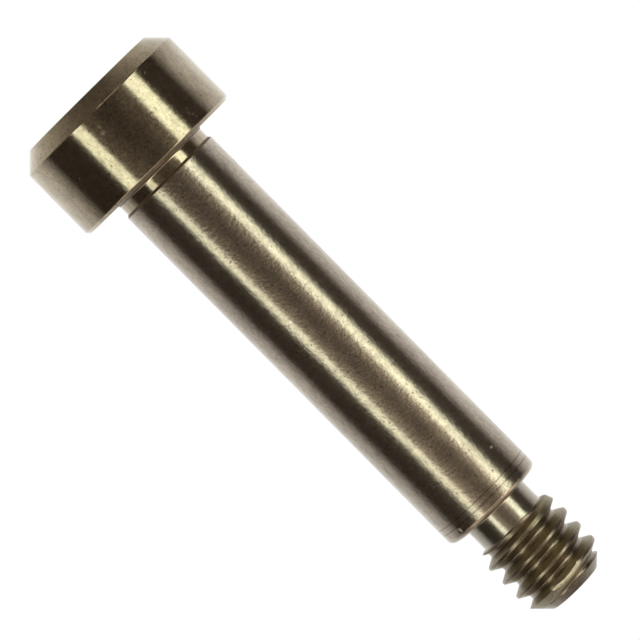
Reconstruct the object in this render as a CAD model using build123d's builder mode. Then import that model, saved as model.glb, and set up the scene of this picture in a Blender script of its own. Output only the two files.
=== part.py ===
"""Shoulder bolt, turned from one bar: a socket head, a ground shoulder and a coarse threaded end.

The bolt stands on its head. The origin is the centre of the head's top face, and +Z runs along
the axis, through the shoulder to the threaded end. All sizes are in millimetres.
"""

import os
from math import ceil, cos, radians, tan

from build123d import *

# Head
head_diameter = 12.7
head_height = 6.55
head_top_chamfer = 1.15  # 45 degrees, round the top face
head_rim_chamfer = 0.23  # 45 degrees, on the seat side

# Hex socket in the head's top face
socket_across_flats = 3.97
socket_depth = 3.2  # full depth of the flats
socket_drill_clearance = 0.1  # between the pilot drill and the flats
socket_point_angle = 118.0  # included angle of the drill point below the flats
socket_mouth_margin = 0.15  # how far the mouth's countersink reaches past the hex corners
socket_mouth_angle = 120.0  # included angle of that countersink

# Grinding relief between head and shoulder
relief_length = 0.85
relief_depth = 0.155  # below the shoulder
relief_bevel_length = 0.18  # along the axis, up to the shoulder
relief_seat_margin = 0.045  # how far outside the shoulder the head's seat starts

# Shoulder
shoulder_diameter = 7.52
shoulder_length = 30.78  # from under the head to the shoulder's end face, relief included
shoulder_end_radius = 0.4

# Plain neck between shoulder and thread
neck_length = 1.72
neck_depth = 0.035  # below the thread's root
neck_corner_radius = 0.15

# Thread, 60 degrees, right hand, with a flat root
thread_nominal_diameter = 6.35
thread_crest_allowance = 0.035  # how far the crests stand below nominal size, on the radius
thread_pitch = 1.27
thread_angle = 60.0  # included angle of the vee
thread_root_flat = 0.274
thread_length = 5.82  # from the neck to the end of the bolt, lead and chamfer included
thread_end_chamfer = 1.17  # 45 degrees, at the free end

# Lead onto the thread: the neck's steep end wall, then a shallow taper to the full diameter
lead_wall_angle = 70.0  # from the axis
lead_taper_depth = 0.3  # how far the shallow taper starts below the crests
lead_taper_angle = 22.0

# Thread cutter
cutter_clearance = 0.25  # between the groove's first turn and the thread's first edge

# Places along the axis
seat_z = head_height
relief_end_z = seat_z + relief_length
shoulder_end_z = seat_z + shoulder_length
thread_start_z = shoulder_end_z + neck_length
end_z = thread_start_z + thread_length

# The vee profile: sharp_height is the full triangle, and groove and ridge are equally wide at
# the pitch radius, three eighths of that height below the nominal radius
flank_slope = tan(radians(thread_angle / 2))
sharp_height = thread_pitch / 2 / flank_slope
pitch_radius = thread_nominal_diameter / 2 - sharp_height * 3 / 8
sharp_radius = pitch_radius + sharp_height / 2
root_radius = pitch_radius - (thread_pitch / 2 - thread_root_flat) / 2 / flank_slope
thread_radius = thread_nominal_diameter / 2 - thread_crest_allowance

# Other radii. The relief's corner takes up the step to the shoulder and the seat's margin
head_radius = head_diameter / 2
shoulder_radius = shoulder_diameter / 2
relief_radius = shoulder_radius - relief_depth
relief_corner_radius = relief_depth + relief_seat_margin
neck_radius = root_radius - neck_depth
lead_radius = thread_radius - lead_taper_depth

# Ends of the two stages of the lead
lead_end_z = thread_start_z + (lead_radius - neck_radius) / tan(radians(lead_wall_angle))
taper_end_z = lead_end_z + lead_taper_depth / tan(radians(lead_taper_angle))


def groove_width(radius):
    """Axial width of the thread groove at a radius."""
    return thread_pitch / 2 + 2 * (radius - pitch_radius) * flank_slope


# The groove starts in the open neck and runs out past the end. Its cutter reaches half way from
# the crests to the sharp radius, where its turns would touch
cutter_radius = (thread_radius + sharp_radius) / 2
groove_start_z = thread_start_z - cutter_clearance - groove_width(thread_radius) / 2
groove_turns = ceil((end_z + groove_width(cutter_radius) / 2 - groove_start_z) / thread_pitch)

# Socket: the pilot drill's radius, and the cones of its point and of the mouth
socket_corner_radius = socket_across_flats / 2 / cos(radians(30))
drill_radius = socket_across_flats / 2 - socket_drill_clearance
drill_point_height = drill_radius / tan(radians(socket_point_angle / 2))
mouth_radius = socket_corner_radius + socket_mouth_margin
mouth_height = mouth_radius / tan(radians(socket_mouth_angle / 2))

with BuildPart() as shoulder_bolt:
    # Blank of the threaded end, as a half section right of the axis
    with BuildSketch(Plane.XZ):
        with BuildLine():
            Polyline(
                (0, thread_start_z),
                (neck_radius, thread_start_z),
                (lead_radius, lead_end_z),
                (thread_radius, taper_end_z),
                (thread_radius, end_z - thread_end_chamfer),
                (thread_radius - thread_end_chamfer, end_z),
                (0, end_z),
                close=True,
            )
        make_face()
    revolve(axis=Axis.Z)

    # Thread groove, swept along its helix
    with BuildLine():
        Helix(
            pitch=thread_pitch,
            height=groove_turns * thread_pitch,
            radius=root_radius,
            center=(0, 0, groove_start_z),
        )
    with BuildSketch(Plane.XZ):
        with BuildLine():
            Polyline(
                (root_radius, groove_start_z - groove_width(root_radius) / 2),
                (cutter_radius, groove_start_z - groove_width(cutter_radius) / 2),
                (cutter_radius, groove_start_z + groove_width(cutter_radius) / 2),
                (root_radius, groove_start_z + groove_width(root_radius) / 2),
                close=True,
            )
        make_face()
    sweep(is_frenet=True, mode=Mode.SUBTRACT)

    # Head, relief, shoulder and neck, with every corner that the tool rounds
    with BuildSketch(Plane.XZ) as body_section:
        with BuildLine():
            Polyline(
                (0, 0),
                (head_radius - head_top_chamfer, 0),
                (head_radius, head_top_chamfer),
                (head_radius, seat_z - head_rim_chamfer),
                (head_radius - head_rim_chamfer, seat_z),
                (relief_radius, seat_z),
                (relief_radius, relief_end_z),
                (shoulder_radius, relief_end_z + relief_bevel_length),
                (shoulder_radius, shoulder_end_z),
                (neck_radius, shoulder_end_z),
                (neck_radius, thread_start_z),
                (0, thread_start_z),
                close=True,
            )
        make_face()
        rounded_corners = {
            (relief_radius, seat_z): relief_corner_radius,
            (shoulder_radius, shoulder_end_z): shoulder_end_radius,
            (neck_radius, shoulder_end_z): neck_corner_radius,
        }
        for corner, radius in rounded_corners.items():
            fillet(body_section.vertices().sort_by_distance(corner)[0], radius)
    revolve(axis=Axis.Z)

    # Hex socket: drilled, countersunk at the mouth and broached
    with BuildSketch(Plane.XZ):
        with BuildLine():
            Polyline(
                (0, 0),
                (drill_radius, 0),
                (drill_radius, socket_depth),
                (0, socket_depth + drill_point_height),
                close=True,
            )
        make_face()
        with BuildLine():
            Polyline((0, 0), (mouth_radius, 0), (0, mouth_height), close=True)
        make_face()
    revolve(axis=Axis.Z, mode=Mode.SUBTRACT)
    with BuildSketch():
        RegularPolygon(socket_corner_radius, 6)
    extrude(amount=socket_depth, mode=Mode.SUBTRACT)

shoulder_bolt.part.label = "shoulder_bolt"

os.makedirs("parts", exist_ok=True)
export_step(shoulder_bolt.part, "parts/shoulder_bolt.step")
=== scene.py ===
"""A shoulder bolt, turned from one steel bar and ground on its shoulder, standing on its head."""

from math import atan, cos, pi, radians, tan

import bmesh
import bpy
from mathutils import Matrix, Vector


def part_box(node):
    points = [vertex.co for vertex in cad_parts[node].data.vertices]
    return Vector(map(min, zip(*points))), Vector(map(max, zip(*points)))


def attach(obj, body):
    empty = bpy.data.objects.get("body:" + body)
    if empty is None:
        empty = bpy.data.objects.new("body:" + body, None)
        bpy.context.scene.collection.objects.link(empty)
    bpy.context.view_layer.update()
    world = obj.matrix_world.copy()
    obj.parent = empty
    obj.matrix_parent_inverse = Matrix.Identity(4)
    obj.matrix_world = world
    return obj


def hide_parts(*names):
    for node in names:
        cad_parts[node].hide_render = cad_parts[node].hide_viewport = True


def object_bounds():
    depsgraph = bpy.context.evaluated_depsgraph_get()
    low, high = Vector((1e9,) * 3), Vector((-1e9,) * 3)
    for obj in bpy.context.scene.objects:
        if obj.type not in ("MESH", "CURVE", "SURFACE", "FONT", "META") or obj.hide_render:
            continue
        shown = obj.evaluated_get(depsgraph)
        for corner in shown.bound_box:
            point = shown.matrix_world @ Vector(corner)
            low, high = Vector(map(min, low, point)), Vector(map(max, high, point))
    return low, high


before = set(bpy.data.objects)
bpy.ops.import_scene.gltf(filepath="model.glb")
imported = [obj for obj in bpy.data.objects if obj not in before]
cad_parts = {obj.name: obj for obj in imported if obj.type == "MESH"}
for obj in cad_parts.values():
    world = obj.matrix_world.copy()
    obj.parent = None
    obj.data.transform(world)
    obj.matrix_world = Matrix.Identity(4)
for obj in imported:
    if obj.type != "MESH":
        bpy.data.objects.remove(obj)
cad_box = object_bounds()

# ---- Blank ----------------------------------------------------------------------------------
# The bolt before its thread and socket are cut. It is turned from one bar of steel: head,
# relief, shoulder, neck and the full-diameter end, with every corner broken or rounded.
# The half section runs from the head's top face to the threaded end, in millimetres.

MM = 0.001
bolt_high = Vector(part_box("shoulder_bolt")[1]) / MM
head_radius = bolt_high.x
head_top_chamfer = 1.15
rim_chamfer = 0.23
relief_radius = 3.605
relief_length = 0.85
relief_bevel_length = 0.18
shoulder_radius = 3.76
shoulder_length = 30.78  # from under the head, relief included
neck_radius = 2.415
neck_length = 1.72
lead_radius = 2.84  # where the neck's steep end wall meets the shallow taper
lead_wall_angle = 70  # from the axis
lead_taper_angle = 22
crest_radius = 3.14
end_chamfer = 1.17
blank_steps = 256
corner_steps = 5
merge_distance = 1e-4

# Places along the axis
seat_z = 6.55
relief_end_z = seat_z + relief_length
shoulder_end_z = seat_z + shoulder_length
neck_end_z = shoulder_end_z + neck_length
lead_end_z = neck_end_z + (lead_radius - neck_radius) / tan(radians(lead_wall_angle))
taper_end_z = lead_end_z + (crest_radius - lead_radius) / tan(radians(lead_taper_angle))
end_z = bolt_high.z

# Radius and place of each corner of the section, and the radius that rounds it off
section_corners = [
    (head_radius - head_top_chamfer, 0, 0.06),
    (head_radius, head_top_chamfer, 0.12),
    (head_radius, seat_z - rim_chamfer, 0.1),
    (head_radius - rim_chamfer, seat_z, 0.04),
    (relief_radius, seat_z, 0.2),
    (relief_radius, relief_end_z, 0.03),
    (shoulder_radius, relief_end_z + relief_bevel_length, 0.03),
    (shoulder_radius, shoulder_end_z, 0.4),
    (neck_radius, shoulder_end_z, 0.15),
    (neck_radius, neck_end_z, 0.05),
    (lead_radius, lead_end_z, 0.05),
    (crest_radius, taper_end_z, 0.05),
    (crest_radius, end_z - end_chamfer, 0.05),
    (crest_radius - end_chamfer, end_z, 0.06),
]


def rounded_chain(mesh, corners, close_on_axis):
    """Draws a wire through (radius, z, rounding) corners, and rounds each corner to its radius."""
    points = [Vector((radius, 0, z)) for radius, z, rounding in corners]
    if close_on_axis:
        points = [Vector((0, 0, points[0].z))] + points + [Vector((0, 0, points[-1].z))]
    verts = [mesh.verts.new(point) for point in points]
    for first, second in zip(verts, verts[1:]):
        mesh.edges.new((first, second))
    skipped = 1 if close_on_axis else 0
    for place, (radius, z, rounding) in enumerate(corners, start=skipped):
        if rounding == 0:
            continue
        arriving = points[place] - points[place - 1]
        leaving = points[place + 1] - points[place]
        turn = arriving.angle(leaving)
        bmesh.ops.bevel(
            mesh, geom=[verts[place]], offset=rounding * tan(turn / 2), offset_type="OFFSET",
            affect="VERTICES", segments=corner_steps, profile=0.5, material=-1,
        )


def finished_mesh(mesh, name):
    """Merges what touches, turns every face outwards, and makes the bmesh an object."""
    bmesh.ops.remove_doubles(mesh, verts=mesh.verts, dist=merge_distance)
    bmesh.ops.recalc_face_normals(mesh, faces=mesh.faces)
    # The thread's folds can leave all faces turned inwards, which makes the volume negative
    if mesh.calc_volume(signed=True) < 0:
        bmesh.ops.reverse_faces(mesh, faces=mesh.faces)
    data = bpy.data.meshes.new(name)
    mesh.to_mesh(data)
    mesh.free()
    piece = bpy.data.objects.new(name, data)
    bpy.context.scene.collection.objects.link(piece)
    return piece


def revolved(name, corners):
    """Turns a half section round the bolt's axis into a closed solid."""
    mesh = bmesh.new()
    rounded_chain(mesh, corners, close_on_axis=True)
    bmesh.ops.spin(
        mesh, geom=mesh.verts[:] + mesh.edges[:], cent=(0, 0, 0), axis=(0, 0, 1),
        angle=2 * pi, steps=blank_steps, use_merge=True, use_duplicate=False,
    )
    return finished_mesh(mesh, name)


bolt = revolved("shoulder_bolt_surface", section_corners)

# ---- Socket ---------------------------------------------------------------------------------
# The hex socket in the head's top face: a pilot drill with a cone point, a countersunk mouth,
# then a hexagon broached to the drill's full depth. Two of its corners lie on X.

socket_across_flats = 3.97
socket_corner_radius = socket_across_flats / 2 / cos(radians(30))
socket_depth = 3.2
drill_clearance = 0.1  # between the drill and the flats
drill_radius = socket_across_flats / 2 - drill_clearance
drill_point_angle = 118
drill_tip_radius = 0.001
mouth_margin = 0.15  # how far the mouth reaches past the hexagon's corners
mouth_radius = socket_corner_radius + mouth_margin
mouth_angle = 120
overcut = 0.5  # how far a cutter reaches past the face that it cuts


def apply(piece, modifier):
    """Makes what the piece's only modifier shapes the piece's own mesh."""
    evaluated = piece.evaluated_get(bpy.context.evaluated_depsgraph_get())
    shaped = bpy.data.meshes.new_from_object(evaluated)
    piece.modifiers.remove(modifier)
    piece.data = shaped


def cut(piece, cutter, operation):
    """Applies a boolean of the cutter to the piece, and deletes the cutter."""
    modifier = piece.modifiers.new("cut", "BOOLEAN")
    modifier.operation = operation
    modifier.solver = "MANIFOLD"
    modifier.object = cutter
    apply(piece, modifier)
    bpy.data.objects.remove(cutter)


mouth_slope = tan(radians(mouth_angle / 2))
point_slope = tan(radians(drill_point_angle / 2))
drill = revolved("drill", [
    (mouth_radius + overcut * mouth_slope, -overcut, 0),
    (drill_radius, (mouth_radius - drill_radius) / mouth_slope, 0),
    (drill_radius, socket_depth, 0),
    (drill_tip_radius, socket_depth + drill_radius / point_slope, 0),
])
cut(bolt, drill, "DIFFERENCE")

mesh = bmesh.new()
bmesh.ops.create_circle(
    mesh, cap_ends=True, cap_tris=False, segments=6, radius=socket_corner_radius,
    matrix=Matrix.Translation((0, 0, -overcut)) @ Matrix.Rotation(radians(30), 4, "Z"),
)
raised = bmesh.ops.extrude_face_region(mesh, geom=mesh.faces[:])["geom"]
bmesh.ops.translate(
    mesh, verts=[item for item in raised if isinstance(item, bmesh.types.BMVert)],
    vec=(0, 0, overcut + socket_depth),
)
broach = finished_mesh(mesh, "broach")
cut(bolt, broach, "DIFFERENCE")

# ---- Thread ---------------------------------------------------------------------------------
# A single-point cut thread, 60 degrees, right hand, with a rounded root and lightly broken
# crests. One pitch of its outline is swept up the helix, and the blank keeps what lies inside.

pitch = 1.27
thread_angle = 60
root_radius = 2.45
root_flat = 0.274
crest_flat = pitch - root_flat - 2 * (crest_radius - root_radius) * tan(radians(thread_angle / 2))
root_rounding = 0.19
crest_rounding = 0.05
groove_lead = 0.25  # from the neck's end down to the upper edge of the groove's first turn
groove_middle_z = neck_end_z - groove_lead + (pitch + crest_flat) / 2
steps_per_turn = 128
turns_below = 3
turns = 10
sleeve_radius = 9
sleeve_start_z = 38.1
on_plane = 0.01  # what lies nearer to a plane than this is on it

mesh = bmesh.new()
first_z = groove_middle_z - turns_below * pitch
rounded_chain(mesh, [
    (root_radius, first_z, 0),
    (root_radius, first_z + root_flat / 2, root_rounding),
    (crest_radius, first_z + (pitch - crest_flat) / 2, crest_rounding),
    (crest_radius, first_z + (pitch + crest_flat) / 2, crest_rounding),
    (root_radius, first_z + pitch - root_flat / 2, root_rounding),
    (root_radius, first_z + pitch, 0),
], close_on_axis=False)
bmesh.ops.spin(
    mesh, geom=mesh.verts[:] + mesh.edges[:], cent=(0, 0, 0), axis=(0, 0, 1),
    dvec=(0, 0, pitch / steps_per_turn), angle=2 * pi * turns, steps=steps_per_turn * turns,
    use_duplicate=False,
)
bmesh.ops.remove_doubles(mesh, verts=mesh.verts, dist=merge_distance)
for height, above in ((sleeve_start_z, False), (end_z + overcut, True)):
    bmesh.ops.bisect_plane(
        mesh, geom=mesh.verts[:] + mesh.edges[:] + mesh.faces[:], dist=1e-5,
        plane_co=(0, 0, height), plane_no=(0, 0, 1), clear_outer=above, clear_inner=not above,
    )

# Below the thread the keeping solid widens to a sleeve round head and shoulder
boundary = [edge for edge in mesh.edges if edge.is_boundary]
rim = [edge for edge in boundary if edge.verts[0].co.z < sleeve_start_z + on_plane]
ring = bmesh.ops.extrude_edge_only(mesh, edges=rim)["geom"]
for vert in [item for item in ring if isinstance(item, bmesh.types.BMVert)]:
    vert.co.xy = vert.co.xy.normalized() * sleeve_radius
ring_edges = [item for item in ring if isinstance(item, bmesh.types.BMEdge)]
ring = bmesh.ops.extrude_edge_only(mesh, edges=ring_edges)["geom"]
bmesh.ops.translate(
    mesh, verts=[item for item in ring if isinstance(item, bmesh.types.BMVert)],
    vec=(0, 0, -sleeve_start_z - overcut),
)
bmesh.ops.holes_fill(mesh, edges=[edge for edge in mesh.edges if edge.is_boundary], sides=0)
keeper = finished_mesh(mesh, "keeper")
cut(bolt, keeper, "INTERSECT")

# ---- Finish ---------------------------------------------------------------------------------
# Bare steel all over, with no plating or paint. Only the tool marks differ: turned on the
# head, relief and neck, ground on the shoulder, cut on the thread.

# Sizes of what shows on the steel. Real tool marks and grain are some 0.05 mm across, too fine
# to show, so both are drawn about five times as coarse
mark_spacing = 0.25
grain_size = 0.22
patch_size = 0.6
cloud_size = 4
pit_size = 0.16

# Nearly all of a noise lies between these two values
noise_low = 0.3
noise_high = 0.7

# What is added to the steel's roughness: by its grain, up or down, and by a knock
grain_unevenness = 0.03
scuff_dullness = 0.16

# A scored line, from its middle to its edge, and how much of the steel's colour it leaves
score_half_width = 0.08
score_level = 0.5


def linear(colour):
    """Turns an sRGB hex colour into the linear values that a shader takes."""
    channels = (int(colour[place:place + 2], 16) / 255 for place in (1, 3, 5))
    return (*(c / 12.92 if c <= 0.04045 else ((c + 0.055) / 1.055) ** 2.4 for c in channels), 1)


def add_node(tree, kind, inputs=None, **settings):
    """Adds a node with its settings, and gives each input its value or its link."""
    node = tree.nodes.new(kind)
    for name, value in settings.items():
        setattr(node, name, value)
    for name, value in (inputs or {}).items():
        if isinstance(value, bpy.types.NodeSocket):
            tree.links.new(value, node.inputs[name])
        else:
            node.inputs[name].default_value = value
    return node


def steel(name, colour, roughness, mark_depth, grain_depth, patina):
    """Bare steel: rings left by the tool, a fine grain over them, a patchy patina and small pits.

    Depths are in millimetres, and patina is how far its patches lighten or darken the steel.
    """
    material = bpy.data.materials.new(name)
    material.use_nodes = True
    tree = material.node_tree
    shader = tree.nodes["Principled BSDF"]
    shader.inputs["Metallic"].default_value = 1

    # Places are in millimetres. Rings depend only on the distance from the axis and along it, and
    # the patina's patches are a little longer along the axis
    metres = add_node(tree, "ShaderNodeTexCoord").outputs["Object"]
    place = add_node(tree, "ShaderNodeVectorMath", {
        0: metres, "Scale": 1 / MM,
    }, operation="SCALE", name="place").outputs[0]
    across = add_node(tree, "ShaderNodeVectorMath", {0: place, 1: (1, 1, 0)}, operation="MULTIPLY")
    radius = add_node(tree, "ShaderNodeVectorMath", {
        0: across.outputs[0],
    }, operation="LENGTH", name="radius").outputs["Value"]
    along = add_node(tree, "ShaderNodeSeparateXYZ", {0: place}, name="axes").outputs["Z"]
    round_axis = add_node(tree, "ShaderNodeCombineXYZ", {"X": radius, "Z": along}).outputs[0]
    longer = add_node(tree, "ShaderNodeVectorMath", {0: place, 1: (1, 1, 0.7)}, operation="MULTIPLY")
    noises = {}
    for pattern, vector, size, detail, fine_strength in (
        ("marks", round_axis, mark_spacing, 3, 0.6),
        ("grain", place, grain_size, 3, 0.55),
        ("patches", longer.outputs[0], patch_size, 4, 1),
        ("clouds", place, cloud_size, 1, 0.5),
        ("pits", place, pit_size, 1, 0.5),
    ):
        noises[pattern] = add_node(tree, "ShaderNodeTexNoise", {
            "Vector": vector, "Scale": 1 / size, "Detail": detail, "Roughness": fine_strength,
        }, name=pattern).outputs["Fac"]

    # Each pattern scales the colour from one level to another as its noise rises
    surface = linear(colour)[:3]
    for pattern, low, high, low_level, high_level in (
        ("patches", noise_low, noise_high, 1 - patina, 1 + patina),
        ("clouds", noise_low, noise_high, 1 - patina / 3, 1 + patina / 3),
        ("pits", 0.66, 0.74, 1, 0.5),
    ):
        level = add_node(tree, "ShaderNodeMapRange", {
            "Value": noises[pattern], "From Min": low, "From Max": high,
            "To Min": low_level, "To Max": high_level,
        }).outputs[0]
        surface = add_node(tree, "ShaderNodeVectorMath", {
            0: surface, "Scale": level,
        }, operation="SCALE").outputs[0]
    tree.links.new(surface, shader.inputs["Base Color"])

    uneven = add_node(tree, "ShaderNodeMapRange", {
        "Value": noises["grain"], "From Min": noise_low, "From Max": noise_high,
        "To Min": roughness - grain_unevenness, "To Max": roughness + grain_unevenness,
    })
    tree.links.new(uneven.outputs[0], shader.inputs["Roughness"])
    marks = add_node(tree, "ShaderNodeBump", {
        "Height": noises["marks"], "Strength": 1, "Distance": mark_depth * MM,
    })
    grain = add_node(tree, "ShaderNodeBump", {
        "Height": noises["grain"], "Strength": 1, "Distance": grain_depth * MM,
        "Normal": marks.outputs[0],
    })
    tree.links.new(grain.outputs[0], shader.inputs["Normal"])
    return material


def scuff(material, spots):
    """Dulls and dents the steel in ragged spots, each (x, y, z, radius, depth).

    A spot with a depth of 0 is only dull.
    """
    tree = material.node_tree
    shader = tree.nodes["Principled BSDF"]
    roughness = shader.inputs["Roughness"].links[0].from_socket
    normal = shader.inputs["Normal"].links[0].from_socket
    raggedness = add_node(tree, "ShaderNodeMapRange", {
        "Value": tree.nodes["grain"].outputs["Fac"], "From Min": noise_low, "From Max": noise_high,
        "To Min": 0.5, "To Max": 1.7,
    }).outputs[0]
    for x, y, z, radius, depth in spots:
        distance = add_node(tree, "ShaderNodeVectorMath", {
            0: tree.nodes["place"].outputs[0], 1: (x, y, z),
        }, operation="DISTANCE").outputs["Value"]
        ragged = add_node(tree, "ShaderNodeMath", {
            0: distance, 1: raggedness,
        }, operation="MULTIPLY").outputs[0]
        duller = add_node(tree, "ShaderNodeMapRange", {
            "Value": ragged, "From Min": radius, "From Max": 0, "To Max": scuff_dullness,
        }).outputs[0]
        roughness = add_node(tree, "ShaderNodeMath", {0: roughness, 1: duller}).outputs[0]
        dent = add_node(tree, "ShaderNodeMapRange", {"Value": distance, "From Max": radius}).outputs[0]
        normal = add_node(tree, "ShaderNodeBump", {
            "Height": dent, "Strength": 1, "Distance": depth * MM, "Normal": normal,
        }).outputs[0]
    tree.links.new(roughness, shader.inputs["Roughness"])
    tree.links.new(normal, shader.inputs["Normal"])


def score(material, heights):
    """Draws a thin, ragged, dark line round the steel at each height."""
    tree = material.node_tree
    base_colour = tree.nodes["Principled BSDF"].inputs["Base Color"]
    raggedness = add_node(tree, "ShaderNodeMapRange", {
        "Value": tree.nodes["grain"].outputs["Fac"], "From Min": 0.35, "From Max": 0.65,
        "To Min": 0.5, "To Max": 2,
    }).outputs[0]
    for height in heights:
        above = add_node(tree, "ShaderNodeMath", {
            0: tree.nodes["axes"].outputs["Z"], 1: height,
        }, operation="SUBTRACT").outputs[0]
        away = add_node(tree, "ShaderNodeMath", {0: above}, operation="ABSOLUTE").outputs[0]
        ragged = add_node(tree, "ShaderNodeMath", {
            0: away, 1: raggedness,
        }, operation="MULTIPLY").outputs[0]
        level = add_node(tree, "ShaderNodeMapRange", {
            "Value": ragged, "From Max": score_half_width, "To Min": score_level, "To Max": 1,
        }).outputs[0]
        lined = add_node(tree, "ShaderNodeVectorMath", {
            0: base_colour.links[0].from_socket, "Scale": level,
        }, operation="SCALE").outputs[0]
        tree.links.new(lined, base_colour)


# Turned steel: a fine single-point finish with shallow rings. It shines brightly, and the edges
# of what it reflects stay clean. The head has taken a few small knocks
turned_steel = steel("turned_steel", "#CBBEA6", 0.145, 0.0004, 0.002, 0.3)
scuff(turned_steel, [
    (-3.87, -5.03, 5.15, 0.18, 0),
    (-3.75, -5.12, 5.4, 0.22, 0.003),
    (-3.9, -5.01, 5.68, 0.25, 0.004),
    (-4, -4.93, 5.95, 0.22, 0.003),
    (-3.55, -5.26, 1.68, 0.15, 0.004),
    (0.9, -6.29, 2.15, 0.2, 0.003),
    (1.02, -6.27, 2.6, 0.25, 0.004),
    (4.13, -4.82, 3.55, 0.12, 0.003),
])

# Ground steel: the shoulder, centreless ground. The wheel leaves a satin, mottled skin, so what
# it reflects is broader and ragged. It is dented in three places and scored near its end
ground_steel = steel("ground_steel", "#CBC0AF", 0.21, 0.001, 0.008, 0.24)
scuff(ground_steel, [
    (-2.52, -2.79, 34.33, 0.14, 0.035),
    (2.71, -2.6, 36.76, 0.2, 0.04),
    (-3.74, -0.4, 9.64, 0.35, 0.05),
])
score(ground_steel, [36.02, 36.46])

# Form-turned steel: the neck, plunged with a tool of its own shape. Nothing was fed along it, so
# it is even and pale, and a little duller than the head
neck_steel = steel("form_turned_steel", "#CBC4B5", 0.19, 0.001, 0.004, 0.16)

# Painted shade on the relief's corner and its narrow bevel: the steel there is drawn darker and
# browner, which paints the dark line of shade there, and it is also rougher, so duller
painted_shade_steel = steel("painted_shade_steel", "#8A7D70", 0.4, 0.001, 0.006, 0.25)

# Thread-cut steel: torn a little by the cutter, so it is grey and dull, and old oil has left its
# flanks browner and duller still
cut_colour = "#A89C8C"
oiled_colour = "#A89F85"
oil_dullness = 0.09
cut_steel = steel("thread_cut_steel", cut_colour, 0.29, 0.001, 0.006, 0.25)

# How far a place lies in each zone of the thread, as the product of ramps, each (value, where it
# is 0, where it is 1). The struck crest's crescent bends with the square of X
crescent_bend = 0.13
tree = cut_steel.node_tree
shader = tree.nodes["Principled BSDF"]
radius = tree.nodes["radius"].outputs["Value"]
x, y, z = tree.nodes["axes"].outputs
facing = add_node(tree, "ShaderNodeNewGeometry").outputs["Normal"]
lean = add_node(tree, "ShaderNodeSeparateXYZ", {0: facing}).outputs["Z"]
x_squared = add_node(tree, "ShaderNodeMath", {0: x, 1: x}, operation="MULTIPLY").outputs[0]
curved_z = add_node(tree, "ShaderNodeMath", {
    0: x_squared, 1: crescent_bend, 2: z,
}, operation="MULTIPLY_ADD").outputs[0]
struck_z = end_z - end_chamfer
struck_front = [(x, -1.55, -1.25), (x, 1.4, 1.1), (y, -2.5, -2.6)]
zones = {}
for zone, ramps in (
    ("flank", [
        (radius, root_radius + 0.05, root_radius + 0.13),
        (radius, crest_radius - 0.02, crest_radius - 0.08),
    ]),
    ("first_crest", [
        (z, lead_end_z + 0.04, lead_end_z + 0.06), (z, taper_end_z + 0.05, taper_end_z + 0.03),
        (lean, -0.5, -0.45), (lean, 0.15, 0.1),
    ]),
    ("lead_corner", [
        (z, lead_end_z - 0.105, lead_end_z - 0.075), (z, lead_end_z + 0.055, lead_end_z + 0.025),
    ]),
    ("struck_side", struck_front + [
        (curved_z, struck_z - 0.4, struck_z - 0.36), (curved_z, struck_z - 0.08, struck_z - 0.12),
    ]),
    ("struck_facet", struck_front + [
        (curved_z, struck_z - 0.11, struck_z - 0.05), (curved_z, struck_z + 0.24, struck_z + 0.18),
    ]),
):
    zones[zone] = 1
    for value, outside, inside in ramps:
        zones[zone] = add_node(tree, "ShaderNodeMapRange", {
            "Value": value, "From Min": outside, "From Max": inside, "To Max": zones[zone],
        }).outputs[0]

# The flanks' old oil tints the steel and dulls it
oil_tint = [oiled / clean for oiled, clean in zip(linear(oiled_colour), linear(cut_colour))][:3]
tint = add_node(tree, "ShaderNodeMix", {
    "Factor": zones["flank"], "A": (1, 1, 1), "B": oil_tint,
}, data_type="VECTOR").outputs["Result"]
surface = add_node(tree, "ShaderNodeVectorMath", {
    0: shader.inputs["Base Color"].links[0].from_socket, 1: tint,
}, operation="MULTIPLY").outputs[0]
tree.links.new(surface, shader.inputs["Base Color"])
roughness = add_node(tree, "ShaderNodeMath", {
    0: zones["flank"], 1: oil_dullness, 2: shader.inputs["Roughness"].links[0].from_socket,
}, operation="MULTIPLY_ADD").outputs[0]
tree.links.new(roughness, shader.inputs["Roughness"])

# The thread's first turn was rolled over, so its crest and the corner before it shine level.
# The last crest was struck: a crescent on its front shines as one facet, dull along one side
normal = shader.inputs["Normal"].links[0].from_socket
levelled = add_node(tree, "ShaderNodeVectorMath", {
    0: normal, 1: (1, 1, 0),
}, operation="MULTIPLY").outputs[0]
for zone, zone_normal in (
    ("first_crest", levelled),
    ("lead_corner", levelled),
    ("struck_side", (0, -0.8, -0.6)),
    ("struck_facet", (-0.36, -0.93, 0.05)),
):
    normal = add_node(tree, "ShaderNodeMix", {
        "Factor": zones[zone], "A": normal, "B": zone_normal,
    }, data_type="VECTOR").outputs["Result"]
normal = add_node(tree, "ShaderNodeVectorMath", {0: normal}, operation="NORMALIZE").outputs[0]
tree.links.new(normal, shader.inputs["Normal"])

# Each face gets the finish of its place along the bolt. The slots that the booleans may have
# left behind go first
# How far above the seat the painted shade of the relief's corner reaches
seat_painted_shade_height = 0.13
sharp_edge_angle = 32
finish_order = [turned_steel, painted_shade_steel, ground_steel, neck_steel, cut_steel]
bolt.data.materials.clear()
for material in finish_order:
    bolt.data.materials.append(material)
mesh = bmesh.new()
mesh.from_mesh(bolt.data)
bmesh.ops.remove_doubles(mesh, verts=mesh.verts, dist=merge_distance)
for face in mesh.faces:
    face_z = face.calc_center_median().z
    if face_z > neck_end_z:
        finish = cut_steel
    elif face_z > shoulder_end_z:
        finish = neck_steel
    elif face_z > relief_end_z + relief_bevel_length:
        finish = ground_steel
    # The relief's bevel, and a thin band just above the seat, take the steel darkened as painted shade
    elif face_z > relief_end_z or seat_z + on_plane < face_z < seat_z + seat_painted_shade_height:
        finish = painted_shade_steel
    else:
        finish = turned_steel
    face.material_index = finish_order.index(finish)
    face.smooth = True
for edge in mesh.edges:
    edge.smooth = len(edge.link_faces) == 2 and edge.calc_face_angle() < radians(sharp_edge_angle)
mesh.to_mesh(bolt.data)
mesh.free()

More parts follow.
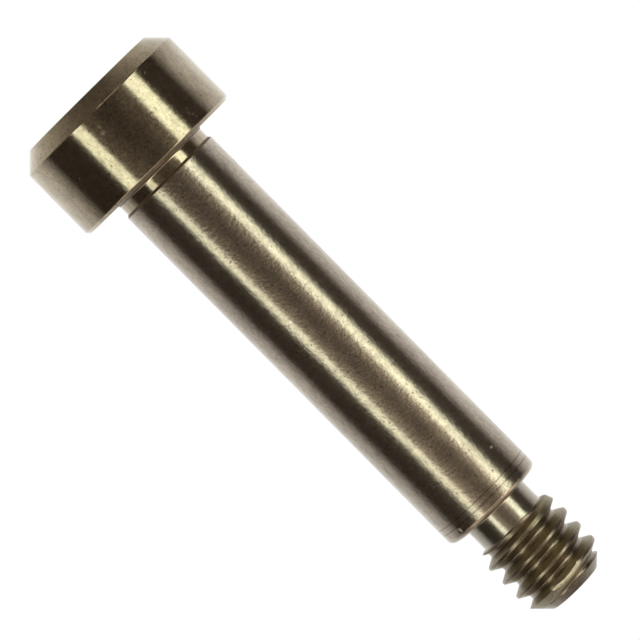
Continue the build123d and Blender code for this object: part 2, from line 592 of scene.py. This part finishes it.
# Large faces keep their true shading beside the narrow ones of rounded corners
weighting = bolt.modifiers.new("true_shading", "WEIGHTED_NORMAL")
weighting.keep_sharp = True
weighting.weight = 90
apply(bolt, weighting)
bolt.data.transform(Matrix.Scale(MM, 4))
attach(bolt, "root")
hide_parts("shoulder_bolt")

# ---- Studio ---------------------------------------------------------------------------------
# A pale floor, white paper behind the bolt, and two warm strip lamps either side of the camera.
# The room on the camera's side is dark and brown, which gives the steel its dark bands.

# Sizes from here on are in metres
floor_radius = 0.4
mesh = bmesh.new()
bmesh.ops.create_circle(mesh, cap_ends=True, cap_tris=False, segments=96, radius=floor_radius)
floor = finished_mesh(mesh, "floor")
floor.visible_glossy = False

# Matt paper: rough fibres with no gloss, so it takes a soft shadow. What the camera sees of it is
# mostly plain white
paper = bpy.data.materials.new("matt_paper")
paper.use_nodes = True
tree = paper.node_tree
tree.nodes.clear()
sheet = add_node(tree, "ShaderNodeBsdfDiffuse", {"Color": linear("#F4F4F2")})
white = add_node(tree, "ShaderNodeEmission", {"Color": (1, 1, 1, 1), "Strength": 1.05})
camera_ray = add_node(tree, "ShaderNodeLightPath").outputs["Is Camera Ray"]
whiteness = add_node(tree, "ShaderNodeMath", {0: camera_ray, 1: 0.9}, operation="MULTIPLY")
seen_paper = add_node(tree, "ShaderNodeMixShader", {
    0: whiteness.outputs[0], 1: sheet.outputs[0], 2: white.outputs[0],
})
add_node(tree, "ShaderNodeOutputMaterial", {"Surface": seen_paper.outputs[0]})
floor.data.materials.append(paper)

# World: white for the camera and for the floor. What the steel reflects is the paper, brightest
# straight behind the bolt, and the brown room
world = bpy.data.worlds.new("studio")
bpy.context.scene.world = world
world.use_nodes = True
world.cycles.sampling_method = "NONE"
tree = world.node_tree
tree.nodes.clear()
direction = add_node(tree, "ShaderNodeTexCoord").outputs["Generated"]
axes = add_node(tree, "ShaderNodeSeparateXYZ", {0: direction}).outputs

# The paper behind, dimmer underfoot, a little brighter on the left, and browner below
backdrop = add_node(tree, "ShaderNodeValToRGB", {"Fac": axes["Y"]})
stops = backdrop.color_ramp.elements
stops[0].position = 0.02
stops[0].color = linear("#352F2A")
stops[1].position = 1
for position, colour in ((0.155, "#7C7976"), (0.41, "#BDBBB9"), (0.7, "#D9D9D9")):
    stops.new(position).color = linear(colour)
paper_light = backdrop.outputs["Color"]
for axis, start, end, start_level, end_level in (
    ("Z", -0.9, -0.15, 0.68, 1),
    ("X", -1, 1, 1.07, 0.95),
):
    level = add_node(tree, "ShaderNodeMapRange", {
        "Value": axes[axis], "From Min": start, "From Max": end,
        "To Min": start_level, "To Max": end_level,
    }).outputs[0]
    paper_light = add_node(tree, "ShaderNodeVectorMath", {
        0: paper_light, "Scale": level,
    }, operation="SCALE").outputs[0]
below = add_node(tree, "ShaderNodeMapRange", {
    "Value": axes["Z"], "From Min": -0.3, "From Max": -0.8,
}).outputs[0]
brown = add_node(tree, "ShaderNodeMix", {
    "Factor": below, "A": (1, 1, 1), "B": (1, 0.95, 0.84),
}, data_type="VECTOR").outputs["Result"]
paper_light = add_node(tree, "ShaderNodeVectorMath", {
    0: paper_light, 1: brown,
}, operation="MULTIPLY").outputs[0]

# The room on the camera's side, as lights, each (dimmest, brightest, ramps). The first ramp goes
# from the dimmest to the brightest, and the others cut it off. A ramp is (axis, start, end)
room_lights = [
    # Between the lamps: the bare room, paler upwards, and a halo beside each lamp
    (0.0012, 0.04, [("Z", 0, 0.09), ("Y", -0.6, -0.7)]),
    (0.0114, 0.38, [("Z", 0, 0.09), ("Y", -0.6, -0.7), ("X", -0.25, -0.55), ("X", -0.72, -0.65)]),
    (0.0075, 0.25, [("Z", 0, 0.09), ("Y", -0.6, -0.7), ("X", 0.05, 0.35), ("X", 0.62, 0.56)]),
    # The wall behind the camera, the wall on the left, and the floor
    (0, 0.11, [("Z", 0, 0.1), ("Y", -0.72, -0.86)]),
    (0, 0.02, [("Z", -0.01, 0.03), ("X", -0.6, -1)]),
    (0, 0.06, [("Z", -0.8, -0.97)]),
]

# Soft-edged patches further up and down, as (X from, X to, softness across, Z from, Z to, level):
# the ceiling in two parts, the lamps' upper ends, and light from below on the left and the right
patch_height_softness = 0.1
for x_low, x_high, softness, z_low, z_high, level in (
    (-1, 1, 0.1, 0.35, 1, 0.15),
    (-0.3, 0.35, 0.1, 0.5, 1, 0.13),
    (-0.7, -0.43, 0.08, 0.28, 0.92, 0.75),
    (0.55, 0.75, 0.25, 0.28, 0.88, 0.42),
    (-0.45, 0, 0.1, -0.85, -0.35, 0.4),
    (0, 1, 0.1, -0.85, -0.35, 0.1),
):
    room_lights.append((0, level, [
        ("Y", 0.1, -0.1),
        ("X", x_low - softness, x_low),
        ("X", x_high + softness, x_high),
        ("Z", z_low - patch_height_softness, z_low),
        ("Z", z_high + patch_height_softness, z_high),
    ]))

room_level = 0
for dimmest, level, ramps in room_lights:
    for axis, start, end in ramps:
        level = add_node(tree, "ShaderNodeMapRange", {
            "Value": axes[axis], "From Min": start, "From Max": end,
            "To Min": dimmest, "To Max": level,
        }).outputs[0]
        dimmest = 0
    room_level = add_node(tree, "ShaderNodeMath", {0: room_level, 1: level}).outputs[0]
room_light = add_node(tree, "ShaderNodeVectorMath", {
    0: linear("#FFEDD6")[:3], "Scale": room_level,
}, operation="SCALE").outputs[0]
reflections = add_node(tree, "ShaderNodeVectorMath", {0: paper_light, 1: room_light}).outputs[0]
rays = add_node(tree, "ShaderNodeLightPath").outputs
reflected = add_node(tree, "ShaderNodeMath", {
    0: rays["Is Glossy Ray"], 1: rays["Is Transmission Ray"],
}, use_clamp=True)
seen_world = add_node(tree, "ShaderNodeMix", {
    "Factor": reflected.outputs[0], "A": (1, 1, 1), "B": reflections,
}, data_type="VECTOR").outputs["Result"]
background = add_node(tree, "ShaderNodeBackground", {"Color": seen_world, "Strength": 1})
add_node(tree, "ShaderNodeOutputWorld", {"Surface": background.outputs[0]})

# Lamps: (name, degrees round from the camera towards +X, width in degrees, radiance, degrees
# that the top leans in towards the camera's side)
lamp_distance = 0.6
lamp_height_angle = 50
middle = (Vector(cad_box[0]) + Vector(cad_box[1])) / 2
for name, round_from_camera, width, radiance, lean in (
    ("left_strip", -48.7, 16.5, 1.7, 27),
    ("right_strip", 37.3, 14.0, 1.4, -18),
):
    light = bpy.data.lights.new(name, "AREA")
    light.shape = "RECTANGLE"
    light.color = linear("#F9FFEB")[:3]
    light.size = 2 * lamp_distance * tan(radians(width / 2))
    light.size_y = 2 * lamp_distance * tan(radians(lamp_height_angle / 2))
    light.energy = radiance * pi * light.size * light.size_y
    lamp = bpy.data.objects.new(name, light)
    bpy.context.scene.collection.objects.link(lamp)
    lamp.matrix_world = (
        Matrix.Rotation(radians(round_from_camera), 4, "Z")
        @ Matrix.Translation((0, -lamp_distance, 0))
        @ Matrix.Rotation(radians(lean), 4, "Y")
        @ Matrix.Rotation(radians(90), 4, "X")
    )
    lamp.visible_camera = False

# ---- Camera ---------------------------------------------------------------------------------
# A long lens near floor height, rolled so that the bolt lies diagonally.

camera_distance = 0.343
camera_height = 0.0046
camera_roll = -135.31
view_shift_x = -0.00043
view_shift_z = -0.00152
view_middle = Vector((view_shift_x, 0, middle.z + view_shift_z))
camera_data = bpy.data.cameras.new("camera")
camera_data.sensor_width = 36
camera_data.lens = 299.1
camera_data.clip_start = 0.01
camera = bpy.data.objects.new("camera", camera_data)
bpy.context.scene.collection.objects.link(camera)
upward = atan((view_middle.z - camera_height) / camera_distance)
camera.matrix_world = (
    Matrix.Translation((view_middle.x, -camera_distance, camera_height))
    @ Matrix.Rotation(upward, 4, "X")
    @ Matrix.Rotation(radians(camera_roll), 4, "Y")
    @ Matrix.Rotation(radians(90), 4, "X")
)
bpy.context.scene.camera = camera
bpy.context.scene.view_settings.view_transform = "Standard"
